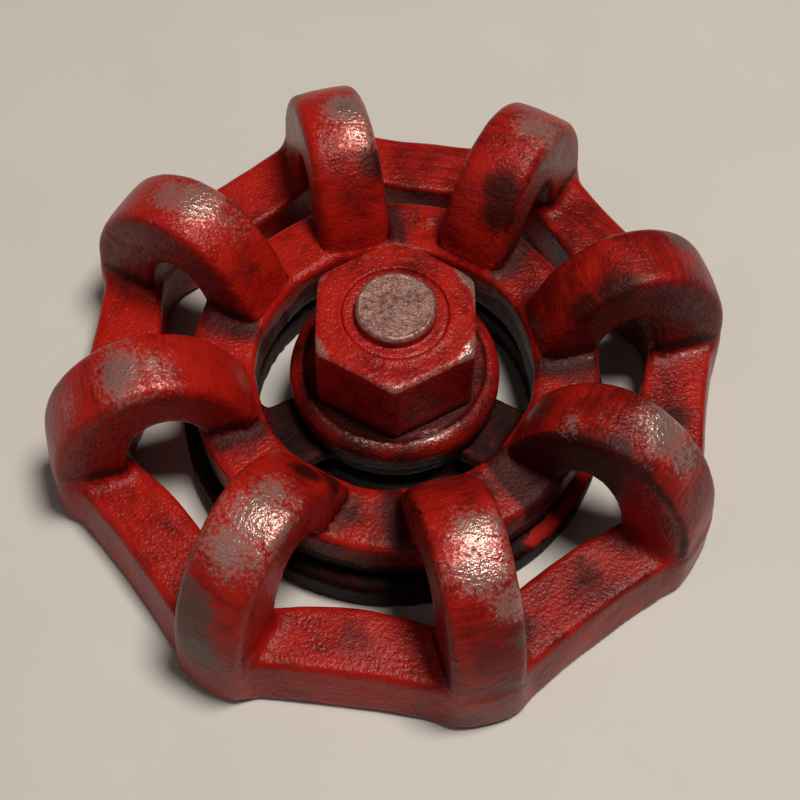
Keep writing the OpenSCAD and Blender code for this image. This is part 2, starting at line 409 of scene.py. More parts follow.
def base_wear(p, _normal):
    """Red paint left along the front right of the base's upper edge."""
    r, around = polar(p)
    ragged = 0.6 * noise(p, 2.5, 41)
    stripe = np.clip((p[:, 2] - BASE_H + 1.4 + ragged) / 0.8, 0, 1) * (r > BASE_R - 2.2)
    return {"red": stripe * np.clip(1.6 - np.abs(around - 335) / 17, 0, 1)}


# ---- meshing ----

EDGES = [((x, y, z), tuple(c + (i == axis) for i, c in enumerate((x, y, z))))
         for axis in range(3)
         for x in (0, 1) for y in (0, 1) for z in (0, 1) if (x, y, z)[axis] == 0]


def surface_net(field, lo, hi, step):
    """Points and four-sided faces on a field's zero surface, by naive surface nets."""
    axes = [np.arange(a - 1.5 * step, b + 2.5 * step, step) for a, b in zip(lo, hi)]
    gx, gy, gz = np.meshgrid(*axes, indexing="ij")
    value = field(gx, gy, gz)
    inside = value < 0
    n = np.array(value.shape) - 1
    count = sum(inside[x:x + n[0], y:y + n[1], z:z + n[2]].astype(int)
                for x in (0, 1) for y in (0, 1) for z in (0, 1))
    crossed = (count > 0) & (count < 8)
    cells = np.argwhere(crossed)
    number = np.full(crossed.shape, -1)
    number[crossed] = np.arange(len(cells))
    total, hits = np.zeros((len(cells), 3)), np.zeros(len(cells))
    for start, end in EDGES:
        start, end = np.array(start), np.array(end)
        fa, fb = (value[tuple((cells + corner).T)] for corner in (start, end))
        cut = (fa < 0) != (fb < 0)
        share = np.where(cut, fa / np.where(cut, fa - fb, 1), 0)
        total += np.where(cut[:, None], start + share[:, None] * (end - start), 0)
        hits += cut
    points = np.array([a[0] for a in axes]) + step * (cells + total / hits[:, None])
    faces = []
    for axis in range(3):
        b, c = [i for i in range(3) if i != axis]
        low = [slice(None)] * 3
        high = [slice(None)] * 3
        low[axis], high[axis] = slice(None, -1), slice(1, None)
        before, after = inside[tuple(low)], inside[tuple(high)]
        at = np.argwhere(before != after)
        at = at[(at[:, b] > 0) & (at[:, c] > 0) & (at[:, b] < n[b]) & (at[:, c] < n[c])]
        step_b, step_c = np.eye(3, dtype=int)[b], np.eye(3, dtype=int)[c]
        quad = np.stack([number[tuple(q.T)] for q in (at - step_b - step_c, at - step_c, at, at - step_b)], 1)
        flip = before[tuple(at.T)] != (axis == 1)
        quad[~flip] = quad[~flip][:, ::-1]
        faces.append(quad)
    return points, np.concatenate(faces).tolist()


def gradient(field, p, h=0.05):
    columns = []
    for axis in range(3):
        d = np.zeros(3)
        d[axis] = h
        columns.append((field(*(p + d).T) - field(*(p - d).T)) / (2 * h))
    return np.stack(columns, 1)


def unit(v):
    return v / np.maximum(np.linalg.norm(v, axis=1, keepdims=True), 1e-6)


def settled(field, p, step):
    """Points moved onto the field's zero surface."""
    for _ in range(3):
        g = gradient(field, p)
        move = field(*p.T)[:, None] * g / np.maximum((g * g).sum(1, keepdims=True), 0.2)
        p = p - np.clip(move, -step / 2, step / 2)
    return p


def cast_skin(p):
    """Height of the cast surface's lumps and ripples."""
    return 0.26 * noise(p, 15, 1) + 0.12 * noise(p, 5.5, 2) + 0.05 * noise(p, 2.2, 3)


def new_object(name, points, faces, material, values=None):
    mesh = bpy.data.meshes.new(name)
    mesh.from_pydata((points * MM).tolist(), [], faces)
    mesh.validate()
    mesh.shade_smooth()
    for key, numbers in (values or {}).items():
        layer = mesh.attributes.new(key, "FLOAT", "POINT")
        layer.data.foreach_set("value", numbers.astype(np.float32))
    obj = bpy.data.objects.new(name, mesh)
    bpy.context.collection.objects.link(obj)
    obj.data.materials.append(material)
    return obj


HOLLOW_REACH, BEND_REACH = 2.6, 0.7


def surface_values(whole, p, normal):
    """Hollow: how deep in a corner a point lies. Edge: how sharply the surface bends outwards."""
    hollow = np.clip(1 - whole(*(p + HOLLOW_REACH * normal).T) / HOLLOW_REACH, 0, 1)
    bend = -6 * whole(*p.T)
    for axis in range(3):
        d = np.zeros(3)
        d[axis] = BEND_REACH
        bend = bend + whole(*(p + d).T) + whole(*(p - d).T)
    return {"hollow": hollow, "edge": np.clip(bend / BEND_REACH ** 2, -1, 1)}


LOWEST = 0.02


def with_skin(points, normal, whole, amount=1.0):
    """The points moved to the uneven cast skin, except where a piece is cut from its casting."""
    on_skin = np.abs(whole(*points.T)) < 0.05
    points = points + normal * np.where(on_skin, cast_skin(points) * amount, 0)[:, None]
    points[:, 2] = np.maximum(points[:, 2], LOWEST)
    return points


def cast_piece(name, field, whole, lo, hi, step, material, skin=1.0, extra=None):
    """A cast piece: field is its own solid, and whole is the casting that it is cut from."""
    points, faces = surface_net(field, lo, hi, step)
    points = settled(field, points, step)
    normal = unit(gradient(whole, points))
    values = surface_values(whole, points, normal)
    if extra is not None:
        values.update(extra(points, normal))
    return new_object(name, with_skin(points, normal, whole, skin), faces, material, values)


# ---- hand-worn places, painted shade and painted highlights ----
# On each bow: degrees along the arch from its outer foot, side across it from -1 to 1, size in mm, strength
SILVER_SPOTS = {
    0: [(66, 0.6, 5, 0.5), (92, -0.2, 8, 0.35)],
    1: [(80, -0.3, 9, 0.8), (60, -0.5, 7, 0.5), (100, 0.2, 7, 0.4)],
    2: [(86, -0.4, 9, 1.0), (104, -0.5, 8, 0.8), (62, 0.6, 6, 0.4)],
    3: [(80, -0.1, 9, 0.8), (98, -0.2, 9, 1.0), (118, -0.2, 8, 0.6), (48, 0.0, 7, 0.4)],
    4: [(78, 0.1, 10, 0.9), (96, 0.2, 9, 0.7), (44, 0.1, 8, 0.6)],
    5: [(66, 0.0, 10, 0.9), (84, 0.2, 10, 1.0), (100, 0.1, 8, 0.8)],
    6: [(72, 0.1, 9, 1.0), (88, 0.2, 8, 1.0), (52, 0.6, 7, 0.8), (104, 0.0, 7, 0.4)],
    7: [(56, 0.2, 8, 0.8), (72, 0.3, 9, 1.0), (116, -0.5, 6, 0.6), (104, -0.2, 6, 0.4)],
}
BARE_SPOTS = {
    0: [(60, 0.6, 6, 0.8)],
    1: [(74, -0.8, 8, 0.5)],
    2: [(56, 0.9, 6, 0.7)],
    3: [(50, 0.0, 8, 0.5)],
    4: [(40, -0.8, 7, 0.6)],
    5: [(34, -0.6, 9, 1.0), (18, -0.3, 8, 0.9), (6, -0.1, 8, 0.9)],
    6: [(34, 0.9, 7, 0.6)],
    7: [(50, 0.5, 8, 0.6)],
}
WASH_SPOTS = {
    0: [(108, -0.9, 9, 1.0), (128, -0.9, 9, 0.9), (140, 0.6, 8, 0.6)],
    1: [(122, -0.4, 7, 1.0), (134, -0.6, 7, 1.0), (150, 0.6, 7, 0.5)],
    2: [(122, -0.9, 7, 1.0), (138, 0.0, 8, 0.6)],
    3: [(140, 0.3, 9, 0.6), (60, 0.9, 8, 0.4)],
    4: [(146, 0.6, 8, 0.5)],
    5: [(128, 0.3, 6, 1.0), (140, 0.9, 7, 0.9)],
    6: [(140, -0.9, 8, 0.8), (80, 0.0, 3, 0.8), (150, 0.5, 8, 0.4)],
    7: [(86, -1.0, 7, 1.0), (70, -1.0, 6, 0.9), (110, -1.0, 7, 0.7), (140, 0.0, 9, 0.7)],
}
# Painted shade on one side face of some bows: which side, and how dark
SIDE_SHADE = {0: (-1, 0.6), 1: (-1, 0.45), 2: (-1, 0.5), 3: (1, 0.58), 4: (1, 0.48), 6: (-1, 0.55),
              7: (-1, 1.0)}
# On the flat tops: degrees around the wheel, radius, height, size, strength
FLAT_WASH = [(316, 46, RIM_TOP, 13, 0.9), (302, 46, RIM_TOP, 11, 0.7), (270, 45, RIM_TOP, 15, 0.6),
             (316, 27, RING_Z2, 11, 0.75), (272, 27, RING_Z2, 9, 0.65), (0, 45, RIM_TOP, 14, 0.75),
             (0, 27, RING_Z2, 9, 0.38), (45, 27, RING_Z2, 9, 0.5), (45, 47, RIM_TOP, 9, 0.5),
             (225, 27, RING_Z2, 6, 0.4)]


def flat_wash(p):
    """Wash on the flat tops, in brush strokes that run outwards."""
    washed = np.zeros(len(p))
    r, angle = np.hypot(p[:, 0], p[:, 1]), np.arctan2(p[:, 1], p[:, 0])
    strokes = np.stack([r * 0.2, angle * 15, 0 * r], 1)
    brush = 0.75 + 0.35 * noise(strokes, 1.5, 61) + 0.3 * noise(p, 3.0, 62)
    for around, r, z, size, strength in FLAT_WASH:
        a = math.radians(around)
        d2 = (p[:, 0] - r * math.cos(a)) ** 2 + (p[:, 1] - r * math.sin(a)) ** 2 + (p[:, 2] - z) ** 2
        washed = np.maximum(washed, strength * np.exp(-d2 / (0.6 * size) ** 2))
    return washed * brush


def spot_values(spots, p):
    """How much a point is worn by the spots of the bow it belongs to."""
    index, u, t = fold(p[:, 0], p[:, 1], BOW_STEP, BOW_STEP / 2)
    index = index % BOWS
    worn = np.zeros(len(p))
    for bow, places in spots.items():
        for along, side, size, strength in places:
            a = math.radians(along)
            d2 = ((u - BOW_MID_R - BOW_HALF * math.cos(a)) ** 2
                  + (p[:, 2] - RIM_TOP - (BOW_TOP - RIM_TOP) * math.sin(a)) ** 2
                  + (t - side * BOW_W / 2) ** 2)
            here = strength * np.exp(-d2 / (0.6 * size) ** 2)
            worn = np.where(index == bow, np.maximum(worn, here), worn)
    return worn


def side_shade(p):
    """Painted shade over whole side faces of the bows; on the last bow's outer leg only a band of it under the
    crown, a painted groove shadow, with full shade towards the inner foot."""
    index, u, t = fold(p[:, 0], p[:, 1], BOW_STEP, BOW_STEP / 2)
    index = index % BOWS
    deep = -half_ellipse(u, p[:, 2], BOW_MID_R, BOW_HALF, RIM_TOP, BOW_TOP - RIM_TOP)
    ragged = deep - 1.2 + 0.5 * noise(p, 3.0, 71)
    band = bell(ragged, 0, 1.2) * (0.85 + 0.3 * noise(p, 4.0, 72))
    band = np.maximum(band, np.clip((44 - u) / 4, 0, 1))
    dark = np.zeros(len(p))
    for bow, (side, strength) in SIDE_SHADE.items():
        face = np.clip((t * side - BOW_W / 2 + 1.6) / 1.0, 0, 1) * (p[:, 2] > RIM_TOP + 1)
        if bow == BOWS - 1:
            face = face * band
        dark = np.where(index == bow, strength * face, dark)
    return dark


def crease_painted_highlight(p):
    """A painted highlight: a bright line along the creases at the first bow's two feet."""
    index, u, t = fold(p[:, 0], p[:, 1], BOW_STEP, BOW_STEP / 2)
    shine = np.zeros(len(p))
    for middle, half, z in ((27.0, 3.5, RING_Z2), (48.0, 4.0, RIM_TOP)):
        across = (t + BOW_W / 2 + 0.9) ** 2 + (p[:, 2] - z - 0.5) ** 2
        shine = np.maximum(shine, np.exp(-across / 0.5) * (np.abs(u - middle) < half))
    return np.where(index % BOWS == 0, shine, 0)


# ---- the rim, ring and bows: one casting, cut apart at the bows' feet ----

CAST_STEP = 0.7
HUB_STEP, ARM_STEP, BASE_STEP, COLLAR_STEP, NUT_STEP = 0.7, 0.55, 0.8, 0.5, 0.48
HUB_SKIN, BASE_SKIN, COLLAR_SKIN = 0.4, 0.5, 0.4


def whole_wheel(x, y, z):
    return np.maximum(casting(x, y, z), RING_SPLIT_R - np.hypot(x, y))


def ring_undercoat_and_shade(p):
    """Black undercoat left low on the ring's outer wall, with a ragged upper edge, and painted shade low on
    its inner wall.
    """
    r = np.hypot(p[:, 0], p[:, 1])
    edge = 11.0 + 1.2 * noise(p, 2.5, 31)
    low = np.clip((edge - p[:, 2]) / 0.8, 0, 1) * (r > RING_R2 - 2) * (r < SEAM_R)
    # painted shade: the inner wall darkened low down, where the hub and collar shade it
    inside = np.clip((14.5 + 1.5 * noise(p, 3.0, 32) - p[:, 2]) / 2.0, 0, 1) * (r < RING_R1 + 1.0)
    return np.maximum(low, 0.8 * inside)


def wheel_mesh():
    lo = np.array([-WHEEL_R - 2, -WHEEL_R - 2, 0])
    hi = np.array([WHEEL_R + 2, WHEEL_R + 2, BOW_TOP + 1])
    points, faces = surface_net(whole_wheel, lo, hi, CAST_STEP)
    points = settled(whole_wheel, points, CAST_STEP)
    normal = unit(gradient(casting, points))
    values = surface_values(casting, points, normal)
    # dry-brushed silver spots, and a painted highlight along the first bow's creases
    values["silver"] = np.maximum(spot_values(SILVER_SPOTS, points), 0.8 * crease_painted_highlight(points))
    values["bare"] = spot_values(BARE_SPOTS, points)
    # wash spots and brush marks, black undercoat, and painted shade on the ring's inner wall and the bows'
    # side faces
    values["wash_and_shade"] = np.maximum.reduce([spot_values(WASH_SPOTS, points), flat_wash(points),
                                        ring_undercoat_and_shade(points), side_shade(points)])
    return with_skin(points, normal, casting), faces, values


def cut_level(bm, level, wanted):
    """Cuts the faces for which wanted is true along a level plane."""
    faces = [f for f in bm.faces if wanted(f.calc_center_median())]
    geometry = set(faces)
    for f in faces:
        geometry.update(f.edges)
        geometry.update(f.verts)
    bmesh.ops.bisect_plane(bm, geom=list(geometry), dist=1e-7,
                           plane_co=(0, 0, level * MM), plane_no=(0, 0, 1))


def owner(c):
    """Which node of the wheel a face centre belongs to."""
    r, z = math.hypot(c.x, c.y) / MM, c.z / MM
    if z > (SEAM_RIM if r > SEAM_R else SEAM_RING):
        return f"grip_bow_{int(math.atan2(c.y, c.x) // BOW_STEP) % BOWS + 1}"
    return "outer_rim" if r > SEAM_R else "inner_ring"


def make_wheel(material):
    points, faces, values = wheel_mesh()
    whole = new_object("wheel", points, faces, material, values)
    bm = bmesh.new()
    bm.from_mesh(whole.data)
    cut_level(bm, SEAM_RIM, lambda c: math.hypot(c.x, c.y) / MM > SEAM_R)
    cut_level(bm, SEAM_RING, lambda c: math.hypot(c.x, c.y) / MM < SEAM_R)
    names = ["outer_rim", "inner_ring"] + [f"grip_bow_{k + 1}" for k in range(BOWS)]
    label = bm.faces.layers.int.new("owner")
    for f in bm.faces:
        f[label] = names.index(owner(f.calc_center_median()))
    pieces = {}
    for number, name in enumerate(names):
        piece = bm.copy()
        mark = piece.faces.layers.int["owner"]
        bmesh.ops.delete(piece, geom=[f for f in piece.faces if f[mark] != number], context="FACES")
        rim_edges = [e for e in piece.edges if e.is_boundary]
        for e in rim_edges:
            e.smooth = False
        caps = bmesh.ops.holes_fill(piece, edges=rim_edges)["faces"]
        bmesh.ops.triangulate(piece, faces=caps)
        bmesh.ops.recalc_face_normals(piece, faces=piece.faces)
        mesh = bpy.data.meshes.new(name + "_cast")
        piece.to_mesh(mesh)
        piece.free()
        obj = bpy.data.objects.new(name + "_cast", mesh)
        bpy.context.collection.objects.link(obj)
        mesh.materials.clear()
        mesh.materials.append(material)
        pieces[name] = obj
    bm.free()
    bpy.data.objects.remove(whole)
    return pieces


# ---- turned pieces: a profile swept around the stem axis ----

def lathe(name, profile, material, around=144):
    """A solid of revolution: profile(angles) gives a (radius, height) pair of arrays for each ring of
    points, from a first pole to a last one. The end rings are closed with a point on the axis."""
    angles = np.arange(around) * math.tau / around
    rings = [np.stack([r * np.cos(angles), r * np.sin(angles), z + 0 * angles], 1)
             for r, z in profile(angles)]
    count = len(rings)
    ends = [rings[0].mean(0, keepdims=True), rings[-1].mean(0, keepdims=True)]
    points = np.concatenate(rings + ends)
    i, j = np.meshgrid(np.arange(count - 1), np.arange(around), indexing="ij")
    j2 = (j + 1) % around
    walls = np.stack([i * around + j, i * around + j2, (i + 1) * around + j2, (i + 1) * around + j], -1)
    faces = walls.reshape(-1, 4).tolist()
    last = (count - 1) * around
    for k in range(around):
        k2 = (k + 1) % around
        faces.append((count * around, k2, k))
        faces.append((count * around + 1, last + k, last + k2))
    return new_object(name, points, faces, material)


def thread_cut(angles, z):
    """Depth of the stem's thread groove at a height, with its run-out at both ends."""
    phase = (z / THREAD_PITCH - angles / math.tau) % 1.0
    groove = np.clip(np.abs(phase - 0.5) * 2 * 1.15 - 0.1, 0, 1)
    ends = np.clip((z - HUB_Z2 - 1.2) / 1.2, 0, 1) * np.clip((STEM_TOP - POINT_H - 0.6 - z) / 1.0, 0, 1)
    return THREAD_DEPTH * groove * ends


def square_radius(angles):
    fold_angle = (angles + math.pi / 4) % (math.pi / 2) - math.pi / 4
    return np.minimum(SQUARE_AF / 2 / np.cos(fold_angle), SQUARE_CORNER_R)


def stem_profile(angles):
    flat = np.ones_like(angles)
    body = []

    def line(r1, z1, r2, z2, step=0.5):
        n = max(1, int(math.hypot(r2 - r1, z2 - z1) / step))
        body.extend((flat * (r1 + (r2 - r1) * k / n), z1 + (z2 - z1) * k / n) for k in range(n))

    def socket_radius(z):
        phase = ((z - STEM_Z1) / SOCKET_PITCH - angles / math.tau) % 1.0
        return SOCKET_R + 0.45 * np.clip(np.abs(phase - 0.5) * 2.2 - 0.1, 0, 1)

    socket_top = STEM_Z1 + SOCKET_DEPTH
    line(0.3, socket_top + 2.4, SOCKET_R, socket_top, 1.0)
    for z in np.arange(socket_top, STEM_Z1 + 0.8, -0.25):
        fade = np.clip((socket_top - 1 - z) / 1.0, 0, 1)
        body.append((SOCKET_R + (socket_radius(z) - SOCKET_R) * fade, z))
    line(SOCKET_R + 0.5, STEM_Z1 + 0.5, SOCKET_R + 1.0, STEM_Z1)
    line(SOCKET_R + 1.0, STEM_Z1, JOURNAL_R - 0.3, STEM_Z1, 1.5)
    line(JOURNAL_R - 0.3, STEM_Z1, JOURNAL_R, CLIP_Z - 0.02)
    line(JOURNAL_R, CLIP_Z, JOURNAL_R - GROOVE_DEPTH, CLIP_Z + 0.01)
    line(JOURNAL_R - GROOVE_DEPTH, CLIP_Z + 0.02, JOURNAL_R - GROOVE_DEPTH, CLIP_Z + CLIP_H - 0.02)
    line(JOURNAL_R - GROOVE_DEPTH, CLIP_Z + CLIP_H, JOURNAL_R, CLIP_Z + CLIP_H + 0.01)
    line(JOURNAL_R, CLIP_Z + CLIP_H + 0.02, JOURNAL_R, HUB_Z1 - 0.3, 1.0)
    line(JOURNAL_R, HUB_Z1 - 0.3, JOURNAL_R - 0.3, HUB_Z1)
    side = square_radius(angles)
    for z in (HUB_Z1 + 0.02, HUB_Z1 + 1.0, HUB_Z1 + 2.0, HUB_Z1 + 3.0, HUB_Z2 - 0.3):
        body.append((side, z))
    body.append((side - 0.3, HUB_Z2))
    line(THREAD_R, HUB_Z2 + 0.02, THREAD_R, HUB_Z2 + 0.3)
    for z in np.arange(HUB_Z2 + 0.4, STEM_TOP - POINT_H - 0.3, 0.2):
        body.append((THREAD_R - thread_cut(angles, z), z))
    shoulder = STEM_TOP - POINT_H
    line(THREAD_R, shoulder - 0.08, THREAD_R - 0.08, shoulder)
    line(THREAD_R - 0.08, shoulder, POINT_R + 0.35, shoulder)
    line(POINT_R + 0.35, shoulder - 0.15, POINT_R, shoulder - 0.1)
    line(POINT_R, shoulder - 0.1, POINT_R, shoulder + 0.4, 0.25)
    line(POINT_R, shoulder + 0.4, POINT_R, STEM_TOP - 0.7, 0.3)
    for k in range(9):
        a = k / 8 * math.pi / 2
        body.append((flat * (POINT_R - 0.7 + 0.7 * math.cos(a)), STEM_TOP - 0.7 + 0.7 * math.sin(a)))
    line(POINT_R - 0.75, STEM_TOP, 0.2, STEM_TOP, 0.5)
    return body


def make_stem(material):
    stem = lathe("stem_turned", stem_profile, material, around=96)
    count = len(stem.data.vertices)
    co = np.zeros(count * 3)
    stem.data.vertices.foreach_get("co", co)
    p = co.reshape(-1, 3) / MM
    r = np.hypot(p[:, 0], p[:, 1])
    shoulder = STEM_TOP - POINT_H
    on_point = np.clip((p[:, 2] - shoulder - 0.3) / 0.6, 0, 1)
    on_shoulder = (np.abs(p[:, 2] - shoulder) < 0.02) * 1.0
    lumps = 0.07 * noise(p, 3.1, 21) + 0.05 * noise(p, 1.3, 22) + 0.03 * noise(p, 0.7, 24)
    p[:, 2] += on_point * (lumps - 0.05 * (r < 5.5)) + on_shoulder * NUT_SKIN * cast_skin(p)
    swell = on_point * 0.10 * noise(p, 3.5, 23)
    p[:, :2] *= (1 + swell / np.maximum(r, 1))[:, None]
    stem.data.vertices.foreach_set("co", (p * MM).reshape(-1))
    return stem


# ---- materials ----

def new_material(name):
    material = bpy.data.materials.new(name)
    material.use_nodes = True
    tree = material.node_tree
    tree.nodes.clear()
    return material, tree


def put(tree, kind, inputs=None, **settings):
    """Adds a node; a socket among the inputs is linked, and anything else is its value."""
    made = tree.nodes.new(kind)
    for key, value in settings.items():
        setattr(made, key, value)
    for key, value in (inputs or {}).items():
        if isinstance(value, bpy.types.NodeSocket):
            tree.links.new(value, made.inputs[key])
        else:
            made.inputs[key].default_value = value
    return made


def place_mm(tree):
    """Object coordinates in millimetres."""
    coords = put(tree, "ShaderNodeTexCoord").outputs["Object"]
    scaled = put(tree, "ShaderNodeVectorMath", {0: coords, 1: (1000, 1000, 1000)}, operation="MULTIPLY")
    return scaled.outputs[0]


def grain(tree, at, size, detail=3.0, rough=0.55, warp=0.0):
    return put(tree, "ShaderNodeTexNoise", {"Vector": at, "Scale": 1 / size, "Detail": detail,
                                            "Roughness": rough, "Distortion": warp}).outputs["Fac"]


def calc(tree, operation, a, b=0.0, c=0.0):
    return put(tree, "ShaderNodeMath", {0: a, 1: b, 2: c}, operation=operation).outputs[0]


def add(tree, *parts):
    total = parts[0]
    for part in parts[1:]:
        total = calc(tree, "ADD", total, part)
    return total


def times(tree, a, b):
    return calc(tree, "MULTIPLY", a, b)


def ramp(tree, value, low, high):
    return put(tree, "ShaderNodeMapRange", {0: value, 1: low, 2: high, 3: 0.0, 4: 1.0},
               interpolation_type="SMOOTHSTEP").outputs[0]


def blend_colour(tree, share, a, b):
    made = put(tree, "ShaderNodeMix", data_type="RGBA")
    for socket, value in ((made.inputs[0], share), (made.inputs[6], a), (made.inputs[7], b)):
        if isinstance(value, bpy.types.NodeSocket):
            tree.links.new(value, socket)
        else:
            socket.default_value = value
    return made.outputs[2]


def blend_value(tree, share, a, b):
    return put(tree, "ShaderNodeMix", {0: share, 2: a, 3: b}, data_type="FLOAT").outputs[0]


def painted(tree, name):
    return put(tree, "ShaderNodeAttribute", attribute_name=name).outputs["Fac"]


def rgb(r, g, b):
    return (r, g, b, 1.0)


BRIGHT_RED = rgb(0.37, 0.010, 0.0055)
DEEP_RED = rgb(0.12, 0.004, 0.003)
# the dark brown of the wash, also the colour of painted shade
WASH_AND_SHADE_BROWN = rgb(0.022, 0.0012, 0.0009)
SILVER = rgb(0.46, 0.31, 0.28)
BARE_GREY = rgb(0.085, 0.055, 0.046)


def shade(tree, colour, rough, metal, height, specular=0.5):
    bumped = put(tree, "ShaderNodeBump", {"Strength": 1.0, "Distance": 0.001, "Height": height})
    surface = put(tree, "ShaderNodeBsdfPrincipled", {
        "Base Color": colour, "Roughness": rough, "Metallic": metal, "Normal": bumped.outputs[0],
        "Specular IOR Level": specular})
    out = put(tree, "ShaderNodeOutputMaterial")
    tree.links.new(surface.outputs[0], out.inputs["Surface"])


def streaks(tree, at):
    """Brush marks that run around the wheel: noise stretched along circles about the stem."""
    parts = put(tree, "ShaderNodeSeparateXYZ", {0: at})
    x, y, z = parts.outputs[0], parts.outputs[1], parts.outputs[2]
    r = calc(tree, "SQRT", add(tree, times(tree, x, x), times(tree, y, y)))
    around = calc(tree, "ARCTAN2", y, x)
    drawn = put(tree, "ShaderNodeCombineXYZ", {"X": times(tree, r, 1.3), "Y": times(tree, around, 5.0),
                                               "Z": times(tree, z, 0.8)}).outputs[0]
    return put(tree, "ShaderNodeTexNoise", {"Vector": drawn, "Scale": 1.0, "Detail": 4.0,
                                            "Roughness": 0.6}).outputs["Fac"]


def cracks(tree, at):
    """Thin wandering lines, only here and there."""
    bent = put(tree, "ShaderNodeTexNoise", {"Vector": at, "Scale": 0.35, "Detail": 3.0}).outputs["Color"]
    bent = put(tree, "ShaderNodeVectorMath", {0: bent, 1: (5, 5, 5)}, operation="MULTIPLY").outputs[0]
    at_bent = put(tree, "ShaderNodeVectorMath", {0: at, 1: bent}, operation="ADD").outputs[0]
    cells = put(tree, "ShaderNodeTexVoronoi", {"Vector": at_bent, "Scale": 0.22},
                feature="DISTANCE_TO_EDGE").outputs["Distance"]
    line = calc(tree, "SUBTRACT", 1.0, ramp(tree, cells, 0.0, 0.035))
    return times(tree, line, ramp(tree, grain(tree, at, 9, 2), 0.57, 0.66))


def paint_layers(tree, at):
    """Worn red paint, with painted shade and painted highlights: its colour, roughness, metalness and height.
    """
    big = grain(tree, at, 15, 2)
    mid = grain(tree, at, 4.5, 4, 0.6)
    fine = grain(tree, at, 1.3, 4, 0.65)
    pebble = grain(tree, at, 0.6, 2, 0.5)
    grit = grain(tree, at, 0.28, 2, 0.5)
    streak, crack = streaks(tree, at), cracks(tree, at)
    edge, hollow = painted(tree, "edge"), painted(tree, "hollow")
    across = put(tree, "ShaderNodeSeparateXYZ", {0: at}).outputs[0]

    # painted light: the x term makes the paint brighter towards -x, the left of the wheel
    tone = add(tree, times(tree, big, 0.35), times(tree, mid, 0.35), times(tree, streak, 0.3),
               times(tree, across, -0.0014))
    colour = blend_colour(tree, ramp(tree, tone, 0.36, 0.58), DEEP_RED, BRIGHT_RED)

    # wash collecting in hollows, which also stands in for the shade there, with the stored wash marks, among
    # them painted shade
    wash_and_shade = add(tree, times(tree, hollow, 0.75), times(tree, painted(tree, "wash_and_shade"), 0.72),
               times(tree, mid, 0.25), times(tree, fine, 0.40), times(tree, streak, 0.35),
               times(tree, crack, 0.3))
    wash_and_shade = ramp(tree, wash_and_shade, 0.74, 1.12)
    colour = blend_colour(tree, times(tree, wash_and_shade, 0.92), colour, WASH_AND_SHADE_BROWN)

    bare = add(tree, times(tree, painted(tree, "bare"), 0.9), times(tree, fine, 0.4),
               times(tree, mid, 0.5))
    bare = ramp(tree, bare, 0.82, 1.02)
    colour = blend_colour(tree, times(tree, bare, 0.75), colour, BARE_GREY)

    # silver layer: dry-brushed silver and worn edges, together with painted highlights
    silver = add(tree, times(tree, painted(tree, "silver"), 0.66), times(tree, edge, 0.16),
                 times(tree, fine, 0.36), times(tree, pebble, 0.62), times(tree, grit, 0.35),
                 times(tree, mid, 0.26), times(tree, crack, -0.4))
    silver = ramp(tree, silver, 1.08, 1.52)
    colour = blend_colour(tree, times(tree, silver, 0.9), colour, SILVER)

    rough = blend_value(tree, mid, 0.19, 0.40)
    rough = blend_value(tree, wash_and_shade, rough, 0.52)
    rough = blend_value(tree, silver, rough, 0.27)
    metal = times(tree, silver, 0.75)
    height = add(tree, times(tree, mid, 0.10), times(tree, fine, 0.11), times(tree, pebble, 0.16),
                 times(tree, grit, 0.06), times(tree, streak, 0.08), times(tree, crack, -0.07))
    return colour, rough, metal, height


def red_paint():
    # worn red paint, with painted shade and painted highlights
    material, tree = new_material("red_paint_worn_and_painted_light")
    colour, rough, metal, height = paint_layers(tree, place_mm(tree))
    shade(tree, colour, rough, metal, height, specular=0.19)
    return material


def dark_casting():
    material, tree = new_material("dark_casting")
    at = place_mm(tree)
    mid, fine = grain(tree, at, 4.5, 4, 0.6), grain(tree, at, 1.2, 4, 0.65)
    grit = grain(tree, at, 0.35)
    colour = blend_colour(tree, ramp(tree, mid, 0.35, 0.7), rgb(0.004, 0.0007, 0.0005),
                          rgb(0.030, 0.0022, 0.0016))
    red = ramp(tree, add(tree, mid, times(tree, fine, 0.4)), 0.80, 0.96)
    colour = blend_colour(tree, times(tree, red, 0.6), colour, rgb(0.12, 0.006, 0.005))
    left = ramp(tree, add(tree, painted(tree, "red"), times(tree, fine, 0.5)), 0.62, 0.82)
    colour = blend_colour(tree, left, colour, rgb(0.34, 0.010, 0.006))
    worn = add(tree, times(tree, painted(tree, "edge"), 0.5), times(tree, fine, 0.5),
               times(tree, grit, 0.2))
    worn = ramp(tree, worn, 0.84, 1.06)
    colour = blend_colour(tree, times(tree, worn, 0.4), colour, rgb(0.10, 0.05, 0.035))
    rough = blend_value(tree, fine, 0.45, 0.75)
    height = add(tree, times(tree, mid, 0.22), times(tree, fine, 0.20), times(tree, grit, 0.05))
    shade(tree, colour, rough, times(tree, worn, 0.4), height, specular=0.12)
    return material


